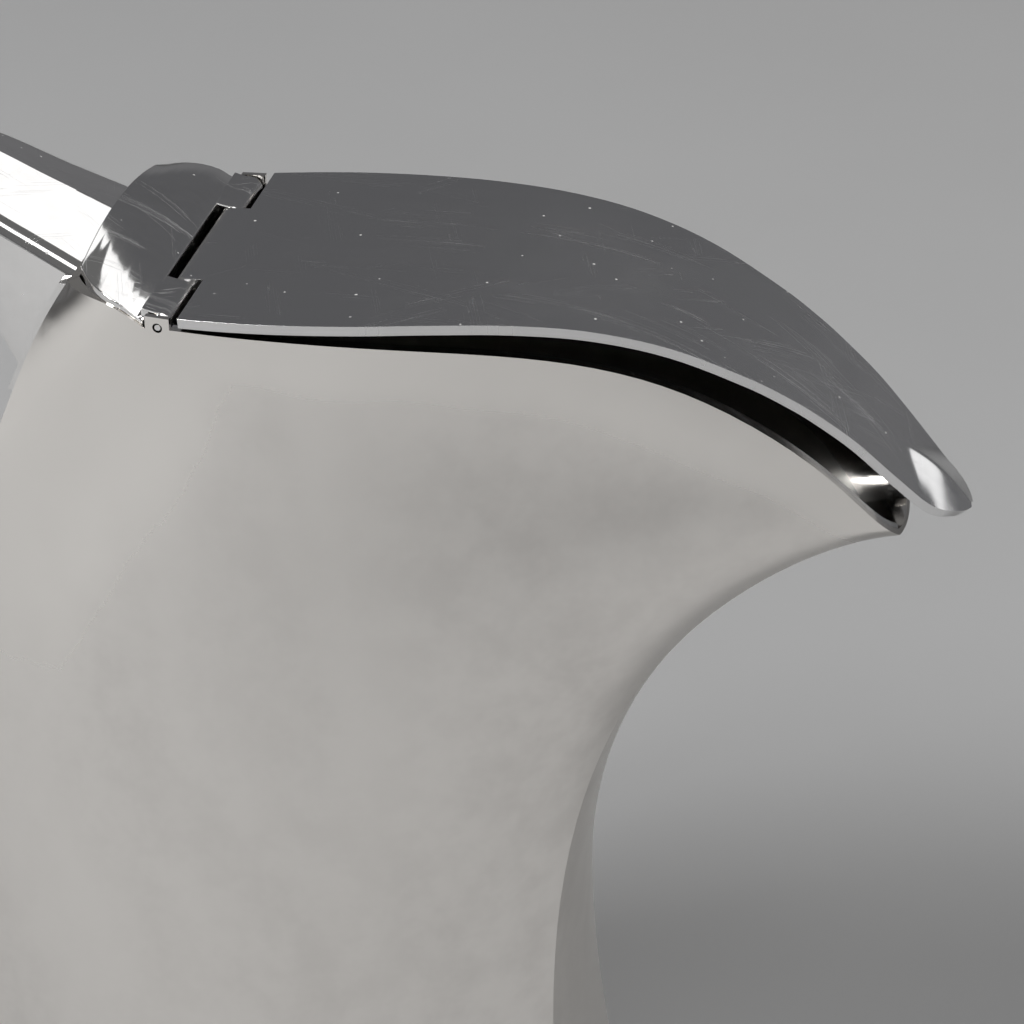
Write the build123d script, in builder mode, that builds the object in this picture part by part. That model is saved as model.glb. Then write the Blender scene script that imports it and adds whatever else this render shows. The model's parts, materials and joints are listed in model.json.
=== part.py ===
"""Lidded silver water pitcher, fabricated from shaped sheet, in millimetres.

+X points to the spout, +Z is up, and the pitcher is symmetric about the XZ plane.
The origin is the centre of the foot, on the surface that it stands on.
Left is +Y and right is -Y, as seen by the person who pours.
"""
import os
from math import cos, hypot, radians, sin

from build123d import *

os.makedirs("parts", exist_ok=True)

# ---- driving dimensions -------------------------------------------------------------------
WALL = 1.2                  # sheet of the body
SOLDER_FILM = 0.05          # between soldered pieces whose faces are curved
LID_SHEET = 1.8             # heavier sheet of the lid
RIM_GAP = 0.3               # between the closed lid and the rim
RIM_DEPTH = 3.0             # height of the stiffening band inside the mouth
RIM_THICKNESS = 1.1
LID_REST_ANGLE = 3.4        # the lid stands this far open at rest, in degrees

HINGE = Vector(-11.2, 0, 211.5)     # centre of the hinge pin
KNUCKLE_RADIUS = 2.0
PIN_RADIUS = 0.9
PIN_CLEARANCE = 0.03
PIN_CHAMFER = 0.25
PIN_STANDS_OUT = 0.15       # beyond the side on each side
LID_KNUCKLE_HALF = 14.9     # half length of the knuckle on the lid
KNUCKLE_GAP = 0.2
LID_BACK_EDGE = 3.2         # the lid's back edge, ahead of the pin, beside its knuckle
DECK_FRONT_EDGE = 2.8       # the deck's front edge, behind the pin, beside the lid's knuckle
DECK_SHEET = 2.4

FOOT_HEIGHT = 3.0           # the body's sheets end this far above the table
FOOT_INSET = 0.4
FOOT_THICKNESS = 3.2
BASE_SHEET = 1.2
BASE_CLEARANCE = 0.3        # between the base plate and the body's sheets

# Corresponding points (x, z) down the front corners and down the back corners of the body,
# from above the mouth to the foot. Each pair holds one cross-section of the body.
FRONT_CORNER = [
    (139, 174.5), (126.5, 174), (116, 173.2), (107, 170.3), (92.5, 161.8), (77.5, 147.5),
    (66.2, 128.5), (59.2, 104.5), (56.7, 75), (58.5, 42), (62, 18), (65, FOOT_HEIGHT),
]
BACK_CORNER = [
    (-9, 250), (-17, 234), (-27, 218.8), (-33.9, 208), (-42, 190.5), (-50, 170),
    (-57.5, 145), (-63.5, 115), (-67, 80), (-67.5, 45), (-66, 20), (-65, FOOT_HEIGHT),
]
MOUTH_SECTION = 2           # index of the pair that spans from the spout to the deck
FLANKS = (0.06, 0.15, 0.33, 0.52, 0.70, 0.88)   # where a side is shaped, back to front

MOUTH_HALF_WIDTH = 31.8
MOUTH_WIDEST_X = 11.0
MOUTH_TAPER = 11.6          # the mouth narrows by this, and more the further from its widest place
MOUTH_TAPER_LENGTH = 40.0
ABOVE_MOUTH_SHARE = 0.9     # the trimmed-off part above the spout, as a share of the mouth
FOOT_HALF_WIDTH = 52.0
FOOT_FULLNESS = 2.2         # higher makes the foot's sides straighter
SPOUT_HALF_WIDTH = 7.0
FRONT_TAPER = 0.115         # the front strip widens by this on each side for each mm down
DECK_CORNER_HALF = 22.5
BACK_HALF_WIDTH_AT_FOOT = 27.0
SPOUT_NOSE = 1.7            # how far the front strip bows forward

# Profile of the closed lid's top, as (ahead of, above) the hinge pin.
LID_TOP = [(22, 2.3), (48, 2.5), (62, 1.9), (75, 0), (88, -4.1), (101, -10.9), (114, -20.6)]
LID_TOP_AT_SPOUT = (127, -34.8)
# Beak of the closed lid: ahead of the pin, half width, height of the edge, height of the ridge.
BEAK = [
    (112, 14.9, -19.0, -18.9), (117, 13.7, -23.4, -22.9), (122, 12.4, -28.6, -27.5),
    (126.5, 11.2, -34.0, -32.2), (131, 9.0, -37.8, -35.5), (134.5, 5.4, -40.6, -39.2),
    (136.6, 1.5, -42.5, -42.0),
]

# Corresponding points (x, z) along the back and the inside of the handle, from deck to body.
HANDLE_OUTSIDE = [
    (-24, 213), (-41, 220.2), (-56, 226.4), (-76, 229), (-94, 222.5), (-107, 205),
    (-112, 180), (-112, 150), (-105, 122), (-90.5, 101), (-64, 84),
]
HANDLE_INSIDE = [
    (-38.5, 188), (-48.5, 202.5), (-58.5, 211), (-75, 215.5), (-88.5, 210), (-97.5, 197),
    (-101.5, 176), (-101.5, 152), (-95.5, 129), (-83.5, 113), (-62, 104),
]
HANDLE_HALF_WIDTHS = (18, 15.4, 13.8, 13.2, 12.8, 12.6, 12.6, 12.6, 12.8, 13.4, 14.5)
HANDLE_RIDGE = 3.3          # the ridge stands above the handle's shoulders
HANDLE_SHOULDER = 3.0
HANDLE_SHEET = 1.2
FLANGE_THICKNESS = 1.2


def smoothstep(value):
    """Ease from 0 to 1."""
    value = min(max(value, 0.0), 1.0)
    return value * value * (3 - 2 * value)


def mouth_half_width(x):
    """Half width of the mouth in plan: a hyperbola that narrows towards the spout."""
    return MOUTH_HALF_WIDTH - MOUTH_TAPER * (hypot(1, (x - MOUTH_WIDEST_X) / MOUTH_TAPER_LENGTH) - 1)


def foot_half_width(fraction, back, front):
    """Half width of the body at the foot, at a fraction of its length from the back."""
    ends = back + (front - back) * fraction
    return ends + (FOOT_HALF_WIDTH - ends) * (1 - abs(2 * fraction - 1) ** FOOT_FULLNESS)


class Section:
    """One cross-section of the body, in the plane through a pair of corner points."""

    def __init__(self, index):
        (front_x, front_z), (back_x, back_z) = FRONT_CORNER[index], BACK_CORNER[index]
        self.length = hypot(front_x - back_x, front_z - back_z)
        along = Vector(front_x - back_x, 0, front_z - back_z).normalized()
        self.plane = Plane(
            origin=(back_x, 0, back_z), x_dir=along, z_dir=Vector(-along.Z, 0, along.X)
        )
        below_mouth = (index - MOUTH_SECTION) / (len(FRONT_CORNER) - 1 - MOUTH_SECTION)
        spread = smoothstep(below_mouth)
        drop = max(0, FRONT_CORNER[MOUTH_SECTION][1] - front_z)
        self.front = SPOUT_HALF_WIDTH + FRONT_TAPER * drop
        if index < MOUTH_SECTION:
            self.front = mouth_half_width(front_x) * ABOVE_MOUTH_SHARE
        self.back = DECK_CORNER_HALF + (BACK_HALF_WIDTH_AT_FOOT - DECK_CORNER_HALF) * spread
        self.flanks = []
        for fraction in FLANKS:
            x = back_x + (front_x - back_x) * fraction
            at_mouth = mouth_half_width(x)
            at_foot = foot_half_width(fraction, self.back, self.front)
            half_width = at_mouth + (at_foot - at_mouth) * spread
            self.flanks.append((self.length * fraction, half_width))

    def side_points(self, side, inset):
        """Points of one side from the back corner to the front corner, moved inwards."""
        points = [(inset, side * (self.back - inset))]
        points += [(along, side * (half - inset)) for along, half in self.flanks]
        points.append((self.length - inset, side * (self.front - inset)))
        return points


SECTIONS = [Section(index) for index in range(len(FRONT_CORNER))]


def side_panel(side, outer, inner):
    """A wall that follows one side of the body, between two insets from its outside."""
    with BuildPart() as panel:
        for section in SECTIONS:
            with BuildSketch(section.plane):
                with BuildLine():
                    outside = Spline(*section.side_points(-1, outer))
                    inside = Spline(*section.side_points(-1, inner))
                    Line(outside @ 0, inside @ 0)
                    Line(outside @ 1, inside @ 1)
                make_face()
        loft()
        if side > 0:
            mirror(about=Plane.XZ, mode=Mode.REPLACE)
    return panel


def front_panel(outer, inner):
    """The strip that closes the front of the body, bowed a little forward."""
    with BuildPart() as panel:
        for section in SECTIONS:
            end, half = section.length, section.front
            with BuildSketch(section.plane):
                with BuildLine():
                    outside = ThreePointArc(
                        (end - outer, outer - half), (end - outer + SPOUT_NOSE, 0),
                        (end - outer, half - outer),
                    )
                    inside = ThreePointArc(
                        (end - inner, inner - half), (end - inner + SPOUT_NOSE, 0),
                        (end - inner, half - inner),
                    )
                    Line(outside @ 0, inside @ 0)
                    Line(outside @ 1, inside @ 1)
                make_face()
        loft()
    return panel


def back_panel(outer, inner, margin=0.0):
    """The strip that closes the back, or with a margin a plate that lies on it."""
    with BuildPart() as panel:
        for section in SECTIONS:
            half_outer = section.back - (margin or outer + SOLDER_FILM)
            half_inner = section.back - (margin or inner + SOLDER_FILM)
            with BuildSketch(section.plane):
                with BuildLine():
                    Polyline(
                        (outer, -half_outer), (outer, half_outer),
                        (inner, half_inner), (inner, -half_inner), close=True,
                    )
                make_face()
        loft()
    return panel


def body_block(grow):
    """The whole body as one block, grown outwards, to fit other pieces against it."""
    with BuildPart() as block:
        for section in SECTIONS:
            with BuildSketch(section.plane):
                with BuildLine():
                    left = Spline(*section.side_points(1, -grow))
                    right = Spline(*section.side_points(-1, -grow))
                    Line(left @ 0, right @ 0)
                    Line(left @ 1, right @ 1)
                make_face()
        loft()
    return block


def parallel(points, distance):
    """Points (x, z) moved square to the curve through them, downwards."""
    moved = []
    for index, (x, z) in enumerate(points):
        x0, z0 = points[max(index - 1, 0)]
        x1, z1 = points[min(index + 1, len(points) - 1)]
        length = hypot(x1 - x0, z1 - z0)
        moved.append((x + distance * (z1 - z0) / length, z - distance * (x1 - x0) / length))
    return moved


# ---- the mouth's trimming shapes ----------------------------------------------------------
HINGE_PLANE = Plane(origin=HINGE, x_dir=(1, 0, 0), z_dir=(0, -1, 0))
lid_curve = [(LID_BACK_EDGE - 1, KNUCKLE_RADIUS)] + LID_TOP + [LID_TOP_AT_SPOUT]
RIM_CURVE = parallel(lid_curve, LID_SHEET + RIM_GAP) + [(131, -43.4), (150, -70)]
EAR_BACK, EAR_FRONT = -2.3, 2.2     # the sides rise level with the knuckles between these
TOP = 60.0
FAR_AHEAD = 200.0
REACH = 90.0

# The deck's top: behind the pin, height of its middle, fall of the crown at CROWN_HALF.
CROWN_HALF = 32.0
DECK_CROWN = [
    (2.3, KNUCKLE_RADIUS - 1.2, 0.2), (-2.8, KNUCKLE_RADIUS + 0.6, 0.4), (-7, 5.3, 1.2),
    (-12, 7.6, 3.4), (-16.4, 9.1, 6.8), (-22, 10.6, 10.0),
]


def crowned_block(lower, upper, first=0):
    """A block that follows the deck's crown, between two heights from the deck's top."""
    with BuildPart() as block:
        for behind, height, fall in DECK_CROWN[first:]:
            across = Plane(origin=HINGE + Vector(behind, 0, height), x_dir=(0, 1, 0), z_dir=(1, 0, 0))
            with BuildSketch(across):
                with BuildLine():
                    low = ThreePointArc(
                        (-CROWN_HALF, lower - fall), (0, lower), (CROWN_HALF, lower - fall)
                    )
                    high = ThreePointArc(
                        (-CROWN_HALF, upper - fall), (0, upper), (CROWN_HALF, upper - fall)
                    )
                    Line(low @ 0, high @ 0)
                    Line(low @ 1, high @ 1)
                make_face()
        loft()
    return block


with BuildPart() as above_mouth:
    with BuildSketch(HINGE_PLANE):
        with BuildLine():
            rim_line = Spline(*RIM_CURVE)
            Polyline(
                rim_line @ 0, (EAR_FRONT, (rim_line @ 0).Y), (EAR_FRONT, KNUCKLE_RADIUS),
                (EAR_BACK, KNUCKLE_RADIUS), (EAR_BACK, TOP), (FAR_AHEAD, TOP),
                (FAR_AHEAD, (rim_line @ 1).Y), rim_line @ 1,
            )
        make_face()
    extrude(amount=REACH, both=True)

with BuildPart() as above_deck:
    add(crowned_block(-DECK_SHEET, TOP).part)
    with BuildSketch(HINGE_PLANE):
        with Locations((EAR_BACK - REACH / 2, 0)):
            Rectangle(REACH, 2 * REACH)
    extrude(amount=REACH, both=True, mode=Mode.INTERSECT)

with BuildPart() as rim_zone:
    with BuildSketch(HINGE_PLANE):
        with BuildLine():
            upper = Spline(*RIM_CURVE)
            lower = Spline(*[(x, z - RIM_DEPTH) for x, z in RIM_CURVE])
            Line(upper @ 0, lower @ 0)
            Line(upper @ 1, lower @ 1)
        make_face()
    extrude(amount=REACH, both=True)

# ---- body sheets --------------------------------------------------------------------------
for name, panel in (
    ("body_side_left", side_panel(1, 0, WALL)),
    ("body_side_right", side_panel(-1, 0, WALL)),
    ("body_front_strip", front_panel(0, WALL)),
    ("body_back_strip", back_panel(0, WALL)),
):
    with BuildPart() as sheet:
        add(panel.part)
        add(above_mouth.part, mode=Mode.SUBTRACT)
        add(above_deck.part, mode=Mode.SUBTRACT)
        if name.startswith("body_side"):
            with Locations(Plane(origin=HINGE, z_dir=(0, 1, 0))):
                Cylinder(radius=PIN_RADIUS, height=2 * REACH, mode=Mode.SUBTRACT)
    sheet.part.label = name
    export_step(sheet.part, f"parts/{name}.step")

for name, side in (("rim_band_left", 1), ("rim_band_right", -1)):
    with BuildPart() as band:
        add(side_panel(side, WALL + SOLDER_FILM, WALL + RIM_THICKNESS).part)
        add(rim_zone.part, mode=Mode.INTERSECT)
    band.part.label = name
    export_step(band.part, f"parts/{name}.step")

# ---- base and foot ------------------------------------------------------------------------
foot_section = SECTIONS[-1]


def foot_outline(inset):
    """Closed outline of the body at the foot, moved inwards."""
    left = Spline(*foot_section.side_points(1, inset))
    right = Spline(*foot_section.side_points(-1, inset))
    nose = foot_section.length - inset + SPOUT_NOSE
    ThreePointArc(left @ 1, (nose, 0), right @ 1)
    Line(left @ 0, right @ 0)


FOOT_PLANE = Plane(origin=(BACK_CORNER[-1][0], 0, 0))

with BuildPart() as foot_ring:
    with BuildSketch(FOOT_PLANE):
        with BuildLine():
            foot_outline(FOOT_INSET)
        make_face()
        with BuildLine():
            foot_outline(FOOT_INSET + FOOT_THICKNESS)
        make_face(mode=Mode.SUBTRACT)
    extrude(amount=FOOT_HEIGHT)
foot_ring.part.label = "foot_ring"
export_step(foot_ring.part, "parts/foot_ring.step")

with BuildPart() as base_plate:
    with BuildSketch(FOOT_PLANE.offset(FOOT_HEIGHT)):
        with BuildLine():
            foot_outline(WALL + BASE_CLEARANCE)
        make_face()
    extrude(amount=BASE_SHEET)
base_plate.part.label = "base_plate"
export_step(base_plate.part, "parts/base_plate.step")

# ---- deck and hinge -----------------------------------------------------------------------
DECK_BACK = -16.4           # the deck's back edge, behind the pin
DECK_SHOULDER = -10.0       # the deck's sides turn in towards the back corners from here
DECK_SIDE_INSET = 0.6
DECK_CORNER_INSET = 1.0
EAR_WALL = WALL + 0.1
ARM_DEPTH = 1.6             # the deck's arms lie this deep on the knuckles
TRIM_HEIGHT = 60.0

hinge_half = mouth_half_width(HINGE.X)
barrel_half = hinge_half - EAR_WALL

with BuildPart() as deck_sheet:
    add(crowned_block(-DECK_SHEET, 0).part)
    with BuildSketch(HINGE_PLANE):
        with Locations((-DECK_FRONT_EDGE - REACH / 2, 0)):
            Rectangle(REACH, 2 * REACH)
    extrude(amount=REACH, both=True, mode=Mode.INTERSECT)

with BuildPart() as hinge_deck:
    with BuildSketch(HINGE_PLANE):
        with BuildLine():
            Polyline(
                (-DECK_FRONT_EDGE, KNUCKLE_RADIUS), (0, KNUCKLE_RADIUS),
                (0, KNUCKLE_RADIUS - ARM_DEPTH), (-DECK_FRONT_EDGE, KNUCKLE_RADIUS - ARM_DEPTH),
                close=True,
            )
        make_face()
    extrude(amount=REACH, both=True)
    add(deck_sheet.part)
    with BuildSketch(Plane.XY.offset(HINGE.Z - TRIM_HEIGHT / 2)):
        with BuildLine():
            back = HINGE.X + DECK_BACK
            front = HINGE.X + EAR_BACK
            shoulder = HINGE.X + DECK_SHOULDER
            corner = DECK_CORNER_HALF - DECK_CORNER_INSET
            wide = mouth_half_width(shoulder) - DECK_SIDE_INSET
            left = Spline((front, mouth_half_width(front)), (shoulder, wide), (back, corner))
            right = Spline((front, -mouth_half_width(front)), (shoulder, -wide), (back, -corner))
            Line(left @ 1, right @ 1)
            Line(left @ 0, right @ 0)
        make_face()
        with Locations((HINGE.X, 0)):
            Rectangle(2 * DECK_FRONT_EDGE, 2 * barrel_half)
    extrude(amount=TRIM_HEIGHT, mode=Mode.INTERSECT)
    with Locations(Plane(origin=HINGE, z_dir=(0, 1, 0))):
        Cylinder(radius=KNUCKLE_RADIUS, height=2 * REACH, mode=Mode.SUBTRACT)
    with Locations(HINGE):
        Box(
            2 * DECK_FRONT_EDGE, 2 * (LID_KNUCKLE_HALF + KNUCKLE_GAP), TRIM_HEIGHT,
            mode=Mode.SUBTRACT,
        )
hinge_deck.part.label = "hinge_deck"
export_step(hinge_deck.part, "parts/hinge_deck.step")

fixed_length = barrel_half - LID_KNUCKLE_HALF - KNUCKLE_GAP
fixed_middle = (barrel_half + LID_KNUCKLE_HALF + KNUCKLE_GAP) / 2
for name, middle in (("hinge_knuckle_left", fixed_middle), ("hinge_knuckle_right", -fixed_middle)):
    with BuildPart() as knuckle:
        with Locations(Plane(origin=HINGE + Vector(0, middle, 0), z_dir=(0, 1, 0))):
            Cylinder(radius=KNUCKLE_RADIUS, height=fixed_length)
            Cylinder(radius=PIN_RADIUS, height=fixed_length, mode=Mode.SUBTRACT)
    knuckle.part.label = name
    export_step(knuckle.part, f"parts/{name}.step")

with BuildPart() as hinge_pin:
    with Locations(Plane(origin=HINGE, z_dir=(0, 1, 0))):
        Cylinder(radius=PIN_RADIUS, height=2 * (hinge_half + PIN_STANDS_OUT))
    chamfer(hinge_pin.edges().filter_by(GeomType.CIRCLE), length=PIN_CHAMFER)
hinge_pin.part.label = "hinge_pin"
export_step(hinge_pin.part, "parts/hinge_pin.step")

# ---- lid, made closed in its own plane and set ajar by that plane ---------------------------
tilt = radians(LID_REST_ANGLE)
LID_PLANE = Plane(origin=HINGE, x_dir=(cos(tilt), 0, sin(tilt)), z_dir=(-sin(tilt), 0, cos(tilt)))
LID_PROFILE = Plane(origin=HINGE, x_dir=LID_PLANE.x_dir, z_dir=(0, -1, 0))
BEAK_START = BEAK[0][0]
BEAK_SHEET = 1.3 * LID_SHEET        # measured upright, because the beak slopes
LID_TRIM_BELOW = 60.0
LID_TRIM_HEIGHT = 100.0

with BuildPart() as lid_knuckle:
    with Locations(Plane(origin=HINGE, z_dir=(0, 1, 0))):
        Cylinder(radius=KNUCKLE_RADIUS, height=2 * LID_KNUCKLE_HALF)
        Cylinder(
            radius=PIN_RADIUS + PIN_CLEARANCE, height=2 * LID_KNUCKLE_HALF, mode=Mode.SUBTRACT,
        )
lid_knuckle.part.label = "lid_knuckle"
export_step(lid_knuckle.part, "parts/lid_knuckle.step")

with BuildPart() as lid_beak:
    for ahead, half, edge, ridge in BEAK:
        across = Plane(
            origin=HINGE + LID_PLANE.x_dir * ahead, x_dir=(0, 1, 0), z_dir=LID_PLANE.x_dir,
        )
        with BuildSketch(across):
            with BuildLine():
                Polyline(
                    (-half, edge), (0, ridge), (half, edge), (half, edge - BEAK_SHEET),
                    (0, ridge - BEAK_SHEET), (-half, edge - BEAK_SHEET), close=True,
                )
            make_face()
    loft()

with BuildPart() as lid_plate:
    with BuildSketch(LID_PROFILE):
        with BuildLine():
            flat = [(0, KNUCKLE_RADIUS)] + LID_TOP + [LID_TOP_AT_SPOUT]
            top = Spline(*flat)
            bottom = Spline(*parallel(flat, LID_SHEET))
            Line(top @ 0, bottom @ 0)
            Line(top @ 1, bottom @ 1)
        make_face()
    extrude(amount=REACH, both=True)
    with BuildSketch(LID_PLANE.offset(-LID_TRIM_BELOW)):
        with BuildLine():
            ahead = [LID_BACK_EDGE, 14, 33, 55, 80, BEAK_START]
            left = Spline(*[(x, mouth_half_width(HINGE.X + x)) for x in ahead])
            right = Spline(*[(x, -mouth_half_width(HINGE.X + x)) for x in ahead])
            Line(left @ 0, right @ 0)
            Line(left @ 1, right @ 1)
        make_face()
        with Locations((LID_BACK_EDGE / 2, 0)):
            Rectangle(LID_BACK_EDGE, 2 * LID_KNUCKLE_HALF)
    extrude(amount=LID_TRIM_HEIGHT, mode=Mode.INTERSECT)
    add(lid_beak.part)
    with Locations(Plane(origin=HINGE, z_dir=(0, 1, 0))):
        Cylinder(radius=KNUCKLE_RADIUS, height=2 * REACH, mode=Mode.SUBTRACT)
lid_plate.part.label = "lid_plate"
export_step(lid_plate.part, "parts/lid_plate.step")

# ---- handle: a ridged back over two half shells, closed into a hollow box -------------------
fitting_block = body_block(FLANGE_THICKNESS + SOLDER_FILM)


def handle_frame(index):
    """Inside point, direction outwards, depth and half width at one pair of handle points."""
    (out_x, out_z), (in_x, in_z) = HANDLE_OUTSIDE[index], HANDLE_INSIDE[index]
    outwards = Vector(out_x - in_x, 0, out_z - in_z)
    return Vector(in_x, 0, in_z), outwards.normalized(), outwards.length, HANDLE_HALF_WIDTHS[index]


def handle_block(outline):
    """A block lofted along the handle from its outline (across, outwards) at each section."""
    with BuildPart() as block:
        for index in range(len(HANDLE_OUTSIDE)):
            inside, outwards, depth, half = handle_frame(index)
            along = Vector(-outwards.Z, 0, outwards.X)
            with BuildSketch(Plane(origin=inside, x_dir=(0, -1, 0), z_dir=along)):
                with BuildLine():
                    Polyline(*outline(depth, half), close=True)
                make_face()
        loft()
    return block


def ridged_outline(inset):
    """Outline of the handle's outside, moved inwards."""
    def outline(depth, half):
        edge, flat, top = half - inset, half - HANDLE_SHOULDER - inset / 2, depth - inset
        shoulder = depth - HANDLE_SHOULDER
        return [
            (-edge, inset), (edge, inset), (edge, shoulder), (flat, top),
            (0, top + HANDLE_RIDGE), (-flat, top), (-edge, shoulder),
        ]
    return outline


outside_block = handle_block(ridged_outline(0))
hollow_block = handle_block(ridged_outline(HANDLE_SHEET))

with BuildPart() as shoulder_zone:
    with BuildSketch(Plane.XZ):
        with BuildLine():
            frames = [handle_frame(index) for index in range(len(HANDLE_OUTSIDE))]
            levels = [
                [inside + outwards * (depth + above) for inside, outwards, depth, half in frames]
                for above in (-HANDLE_SHOULDER, 2 * HANDLE_RIDGE)
            ]
            low, high = [Spline(*[(p.X, p.Z) for p in level]) for level in levels]
            Line(low @ 0, high @ 0)
            Line(low @ 1, high @ 1)
        make_face()
    extrude(amount=REACH, both=True)

with BuildPart() as handle_back:
    add(outside_block.part)
    add(shoulder_zone.part, mode=Mode.INTERSECT)
    add(hollow_block.part, mode=Mode.SUBTRACT)

with BuildPart() as handle_trough:
    add(outside_block.part)
    add(shoulder_zone.part, mode=Mode.SUBTRACT)
    add(hollow_block.part, mode=Mode.SUBTRACT)

with BuildPart() as handle_shell_left:
    add(handle_trough.part)
    split(bisect_by=Plane.XZ, keep=Keep.BOTTOM)

with BuildPart() as handle_shell_right:
    add(handle_trough.part)
    split(bisect_by=Plane.XZ, keep=Keep.TOP)

for name, strip in (
    ("handle_back", handle_back),
    ("handle_shell_left", handle_shell_left),
    ("handle_shell_right", handle_shell_right),
):
    with BuildPart() as fitted:
        add(strip.part)
        add(fitting_block.part, mode=Mode.SUBTRACT)
        add(hinge_deck.part, mode=Mode.SUBTRACT)
    fitted.part.label = name
    export_step(fitted.part, f"parts/{name}.step")

for name, low, high, margin in (
    ("handle_upper_flange", 191, 213, 2.2),
    ("handle_lower_flange", 80, 107, 10.5),
):
    with BuildPart() as flange:
        add(back_panel(-FLANGE_THICKNESS, -SOLDER_FILM, margin).part)
        with Locations((0, 0, (low + high) / 2)):
            Box(2 * REACH, 2 * REACH, high - low, mode=Mode.INTERSECT)
    flange.part.label = name
    export_step(flange.part, f"parts/{name}.step")
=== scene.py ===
"""A silver water pitcher with a hinged lid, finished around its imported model.

The body is four sheets soldered along sharp corners, with a band inside the mouth, a hollow ridged
handle, a crowned deck behind the hinge and one long lid that ends in a beak over the spout.
"""

from __future__ import annotations

import json
import logging
import math
from collections.abc import Callable
from dataclasses import dataclass
from enum import Enum

import bmesh
import bpy
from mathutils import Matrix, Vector


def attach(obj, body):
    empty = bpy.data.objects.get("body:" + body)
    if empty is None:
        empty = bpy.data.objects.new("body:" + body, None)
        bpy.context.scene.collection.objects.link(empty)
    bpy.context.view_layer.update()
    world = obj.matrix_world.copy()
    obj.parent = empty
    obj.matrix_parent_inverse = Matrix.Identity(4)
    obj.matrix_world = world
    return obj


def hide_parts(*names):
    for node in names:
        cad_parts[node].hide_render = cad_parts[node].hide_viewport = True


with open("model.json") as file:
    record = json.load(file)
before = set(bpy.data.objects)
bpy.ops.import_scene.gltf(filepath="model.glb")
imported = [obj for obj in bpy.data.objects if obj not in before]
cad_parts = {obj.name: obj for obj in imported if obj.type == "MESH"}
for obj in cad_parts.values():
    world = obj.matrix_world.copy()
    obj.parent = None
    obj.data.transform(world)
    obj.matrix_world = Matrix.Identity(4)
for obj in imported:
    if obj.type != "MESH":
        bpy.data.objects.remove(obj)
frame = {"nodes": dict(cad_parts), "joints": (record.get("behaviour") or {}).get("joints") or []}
bpy.context.view_layer.update()

log = logging.getLogger("pitcher")


class Slot(Enum):
    """The record's material slots."""

    HAZED = "silver_hazed"
    POLISHED = "silver_polished"
    BRUSHED = "silver_brushed"


class Face(Enum):
    """Which way a worked face looks: up, or out to the side."""

    TOP = "top"
    SIDE = "side"

    def lay(self, turn: float) -> tuple[float, float, float]:
        """Angles in degrees that turn lines within the face."""
        return (0.0, 0.0, turn) if self is Face.TOP else (0.0, turn, 0.0)

    def draw(self, long: float, fine: float) -> tuple[float, float, float]:
        """Stretch that draws lines out within the face and keeps them through it."""
        return (long, fine, long) if self is Face.TOP else (long, long, fine)


class Body(Enum):
    """The moving bodies of the pitcher."""

    PITCHER = "pitcher"
    LID = "lid"


# ---------------------------------------------------------------- shader bench

MID_NOISE = 0.5      # the value about which soft noise varies
GAP_ALONG = 2.2      # gaps in a scratch against the scratch, along it
GAP_ACROSS = 0.12    # and across it
GAP_FADE = 0.08      # how softly a scratch breaks off


class Wire:
    """One output of a shader tree. Arithmetic on it adds the Math nodes."""

    def __init__(self, bench: Bench, socket: bpy.types.NodeSocket) -> None:
        """Keeps the socket and the bench that it belongs to."""
        self.bench = bench
        self.socket = socket

    def __add__(self, other: Wire | float) -> Wire:
        """Self plus other."""
        return self.bench.math("ADD", self, other)

    def __radd__(self, other: float) -> Wire:
        """Other plus self."""
        return self.bench.math("ADD", other, self)

    def __sub__(self, other: Wire | float) -> Wire:
        """Self minus other."""
        return self.bench.math("SUBTRACT", self, other)

    def __rsub__(self, other: float) -> Wire:
        """Other minus self."""
        return self.bench.math("SUBTRACT", other, self)

    def __mul__(self, other: Wire | float) -> Wire:
        """Self times other."""
        return self.bench.math("MULTIPLY", self, other)

    def __rmul__(self, other: float) -> Wire:
        """Other times self."""
        return self.bench.math("MULTIPLY", other, self)

    def __abs__(self) -> Wire:
        """The size of the value without its sign."""
        return self.bench.math("ABSOLUTE", self)

    def least(self, other: Wire | float) -> Wire:
        """The smaller of the two."""
        return self.bench.math("MINIMUM", self, other)

    def most(self, other: Wire | float) -> Wire:
        """The larger of the two."""
        return self.bench.math("MAXIMUM", self, other)

    def ramp(self, start: float, end: float, low: float = 0.0, high: float = 1.0) -> Wire:
        """A smooth step.

        Args:
            start: Value at which the step begins; it may be above end for a falling step.
            end: Value at which the step is complete.
            low: Result at start.
            high: Result at end.

        Returns:
            The stepped value.
        """
        rising = start < end
        node = self.bench.node(
            "ShaderNodeMapRange",
            {"interpolation_type": "SMOOTHSTEP", "clamp": True},
            {
                "Value": self,
                "From Min": start if rising else end,
                "From Max": end if rising else start,
                "To Min": low if rising else high,
                "To Max": high if rising else low,
            },
        )
        return Wire(self.bench, node.outputs["Result"])


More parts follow.
